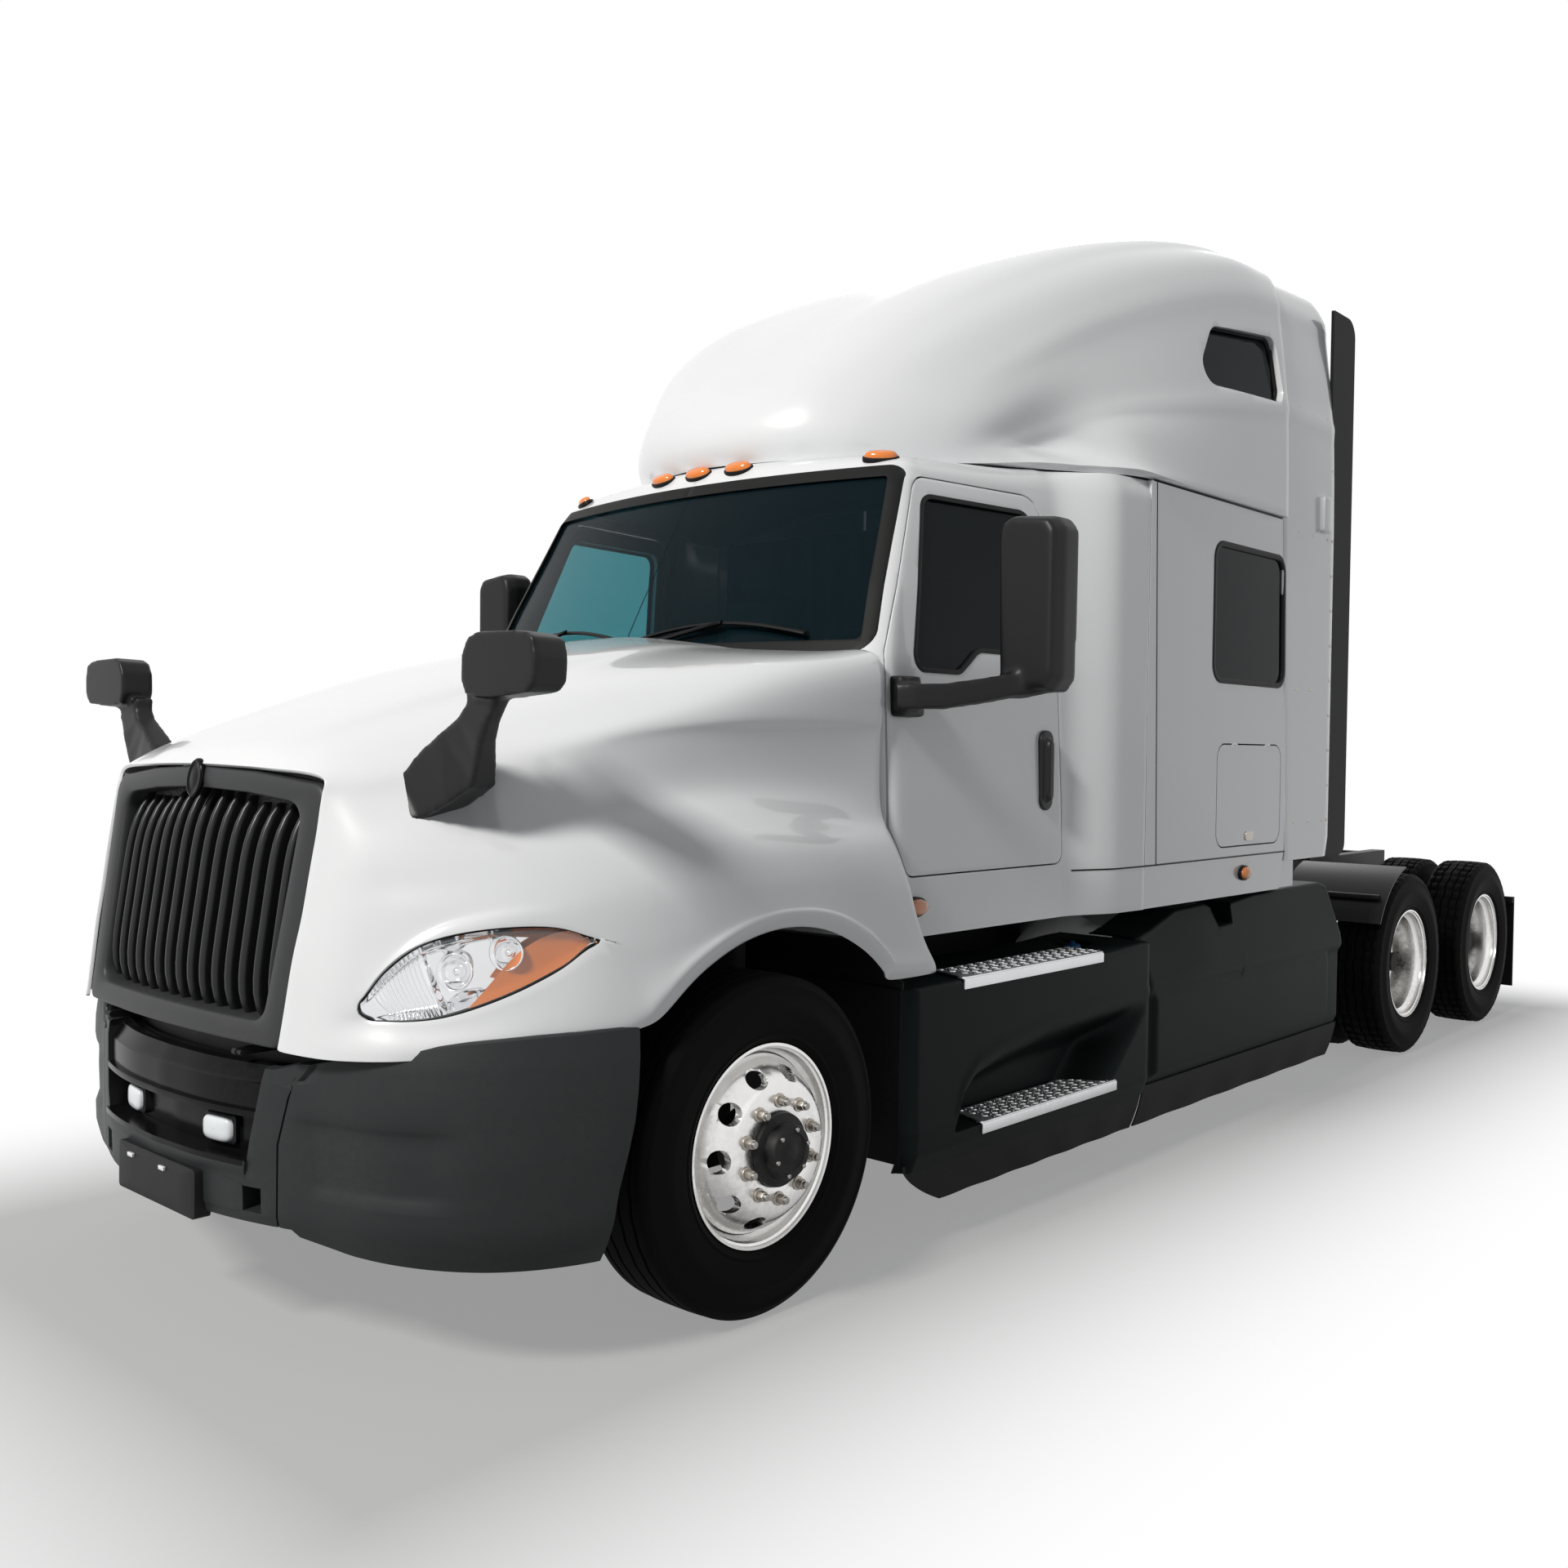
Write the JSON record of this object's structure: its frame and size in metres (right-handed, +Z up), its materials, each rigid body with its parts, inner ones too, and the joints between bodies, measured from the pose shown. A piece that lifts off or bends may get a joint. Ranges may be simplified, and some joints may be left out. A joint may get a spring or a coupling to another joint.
{
  "type": "semi truck tractor unit",
  "caption": "Conventional long-nose tractor unit with a high-roof sleeper, tilting hood, side skirts, twin drive axles and a coupling plate.",
  "frame": {"origin": "on the ground at the middle of the bounding box", "axes": "+X forward, +Y to the driver's (left) side, +Z up"},
  "size_m": [8.4763, 3.1282, 3.9863],
  "materials": {
    "body_paint": "gloss",
    "dark_trim": "satin",
    "black_plastic": "satin",
    "glass": "gloss",
    "tyre": "matte",
    "alloy": "polished",
    "chassis_paint": "satin",
    "iron": "matte",
    "rubber": "matte",
    "tread_plate": "satin",
    "clear_lamp": "gloss",
    "amber_lamp": "gloss",
    "red_lamp": "gloss",
    "cloth": "matte",
    "interior_plastic": "matte",
    "steel": "satin"
  },
  "bodies": {
    "chassis": {"frame": "chassis_paint", "engine_block": "iron", "radiator": "tread_plate", "front_axle_beam": "iron", "front_springs": "chassis_paint", "drive_axles": "iron", "rear_suspension": "chassis_paint", "fuel_tanks": "tread_plate", "skirts_front": "dark_trim", "skirts_rear": "dark_trim", "skirt_lips": "rubber", "step_treads": "tread_plate", "bumper": "dark_trim", "fog_lamps": "clear_lamp", "cab_shell": "body_paint", "windshield": "glass", "sleeper_shell": "body_paint", "roof_fairing": "body_paint", "sleeper_glass": "glass", "side_extenders": "body_paint", "extender_rubbers": "rubber", "marker_lamps": "amber_lamp", "dashboard": "interior_plastic", "seats": "cloth", "bunk": "cloth", "rear_fenders": "black_plastic", "mudflaps": "rubber", "tail_lamps": "red_lamp", "fifth_wheel_base": "iron"},
    "hood": {"hood_shell": "body_paint", "grille": "dark_trim", "headlamps": "clear_lamp", "hood_mirrors": "black_plastic"},
    "tie_rod": {"tie_rod": "iron"},
    "fifth_wheel_plate": {"fifth_wheel_plate": "steel"},
    "door_left": {"door_left": "body_paint", "door_glass_left": "glass", "door_fittings_left": "black_plastic"},
    "luggage_door_left": {"luggage_door_left": "body_paint"},
    "knuckle_left": {"knuckle_left": "iron"},
    "steer_wheel_left": {"steer_wheel_left": "alloy", "steer_tyre_left": "tyre"},
    "drive_wheel_front_left": {"drive_wheels_front_left": "alloy", "drive_tyres_front_left": "tyre"},
    "drive_wheel_rear_left": {"drive_wheels_rear_left": "alloy", "drive_tyres_rear_left": "tyre"},
    "door_right": {"door_right": "body_paint", "door_glass_right": "glass", "door_fittings_right": "black_plastic"},
    "luggage_door_right": {"luggage_door_right": "body_paint"},
    "knuckle_right": {"knuckle_right": "iron"},
    "steer_wheel_right": {"steer_wheel_right": "alloy", "steer_tyre_right": "tyre"},
    "drive_wheel_front_right": {"drive_wheels_front_right": "alloy", "drive_tyres_front_right": "tyre"},
    "drive_wheel_rear_right": {"drive_wheels_rear_right": "alloy", "drive_tyres_rear_right": "tyre"}
  },
  "joints": [
    {"name": "hood_tilt", "type": "hinge", "parent": "chassis", "child": "hood", "pos_m": [4.203, 0, 0.836], "axis": [0, 1, 0], "range_deg": [0, 70]},
    {"name": "fifth_wheel_tilt", "type": "hinge", "parent": "chassis", "child": "fifth_wheel_plate", "pos_m": [-2.869, 0, 1.175], "axis": [0, 1, 0], "range_deg": [-10, 12]},
    {"name": "door_left_hinge", "type": "hinge", "parent": "chassis", "child": "door_left", "pos_m": [2.319, 1.106, 1.5], "axis": [0, 0, -1], "range_deg": [0, 65]},
    {"name": "luggage_door_left_hinge", "type": "hinge", "parent": "chassis", "child": "luggage_door_left", "pos_m": [-0.129, 1.221, 1.6975], "axis": [1, 0, 0], "range_deg": [0, 80]},
    {"name": "steer_left", "type": "hinge", "parent": "chassis", "child": "knuckle_left", "pos_m": [2.991, 0.885, 0.5], "axis": [0, 0, 1], "range_deg": [-38, 38]},
    {"name": "steer_wheel_left_spin", "type": "hinge", "parent": "knuckle_left", "child": "steer_wheel_left", "pos_m": [2.991, 1.062, 0.5], "axis": [0, 1, 0], "continuous": true},
    {"name": "drive_wheel_front_left_spin", "type": "hinge", "parent": "chassis", "child": "drive_wheel_front_left", "pos_m": [-2.279, 0.9085, 0.5], "axis": [0, 1, 0], "continuous": true},
    {"name": "drive_wheel_rear_left_spin", "type": "hinge", "parent": "chassis", "child": "drive_wheel_rear_left", "pos_m": [-3.599, 0.9085, 0.5], "axis": [0, 1, 0], "continuous": true},
    {"name": "door_right_hinge", "type": "hinge", "parent": "chassis", "child": "door_right", "pos_m": [2.319, -1.106, 1.5], "axis": [0, 0, 1], "range_deg": [0, 65]},
    {"name": "luggage_door_right_hinge", "type": "hinge", "parent": "chassis", "child": "luggage_door_right", "pos_m": [-0.129, -1.221, 1.6975], "axis": [-1, 0, 0], "range_deg": [0, 80]},
    {"name": "steer_right", "type": "hinge", "parent": "chassis", "child": "knuckle_right", "pos_m": [2.991, -0.885, 0.5], "axis": [0, 0, 1], "range_deg": [-38, 38]},
    {"name": "steer_wheel_right_spin", "type": "hinge", "parent": "knuckle_right", "child": "steer_wheel_right", "pos_m": [2.991, -1.062, 0.5], "axis": [0, 1, 0], "continuous": true},
    {"name": "drive_wheel_front_right_spin", "type": "hinge", "parent": "chassis", "child": "drive_wheel_front_right", "pos_m": [-2.279, -0.9085, 0.5], "axis": [0, 1, 0], "continuous": true},
    {"name": "drive_wheel_rear_right_spin", "type": "hinge", "parent": "chassis", "child": "drive_wheel_rear_right", "pos_m": [-3.599, -0.9085, 0.5], "axis": [0, 1, 0], "continuous": true},
    {"name": "tie_rod_pivot", "type": "hinge", "parent": "knuckle_left", "child": "tie_rod", "pos_m": [2.791, 0.885, 0.413], "axis": [0, 0, 1], "range_deg": [-38, 38]}
  ],
  "couplings": [
    {"joint": "steer_right", "follows": "steer_left", "ratio": 1},
    {"joint": "tie_rod_pivot", "follows": "steer_left", "ratio": -1}
  ]
}
